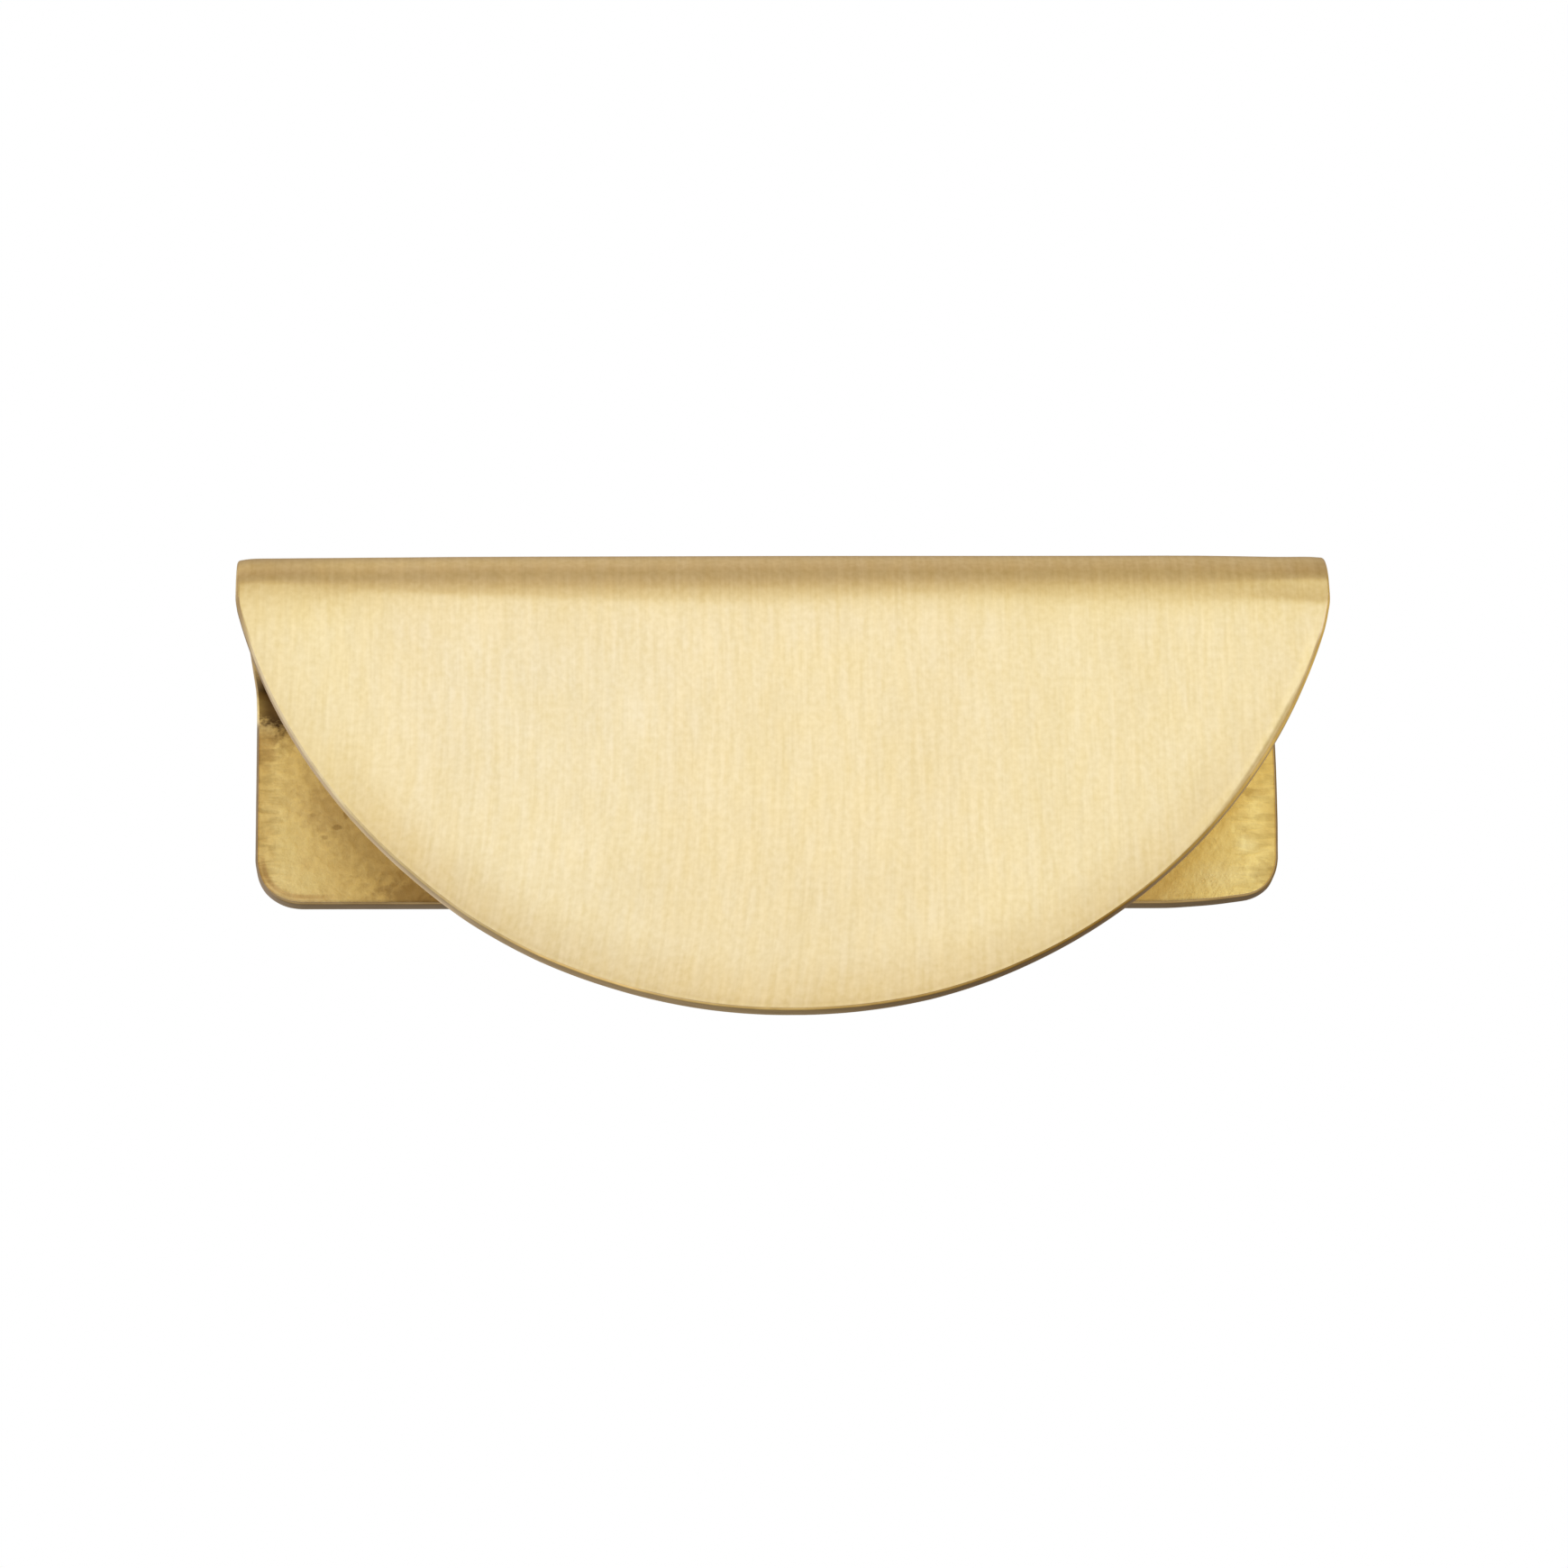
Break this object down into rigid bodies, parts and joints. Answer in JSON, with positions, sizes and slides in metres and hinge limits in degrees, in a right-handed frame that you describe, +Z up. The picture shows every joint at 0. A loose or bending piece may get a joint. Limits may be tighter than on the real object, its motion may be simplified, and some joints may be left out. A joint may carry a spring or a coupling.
{
  "type": "lip pull",
  "caption": "Half-moon lip pull folded from one brass sheet: a lip for the top edge of a drawer front, a screwed back plate behind it and a half-moon finger grip in front.",
  "frame": {"origin": "midway between the two screw holes, on the back plate's bearing face (the face that lies against the rear of the drawer front)", "axes": "+X along the lip, to the right seen from the front; +Z up, so the lip is on top; -Y towards the half-moon and the user"},
  "size_m": [0.1, 0.0416, 0.0443],
  "materials": {
    "brushed_brass": "satin, brushed from top to bottom on the half-moon"
  },
  "bodies": {
    "root": {"lip_pull": "brushed_brass"}
  },
  "joints": []
}
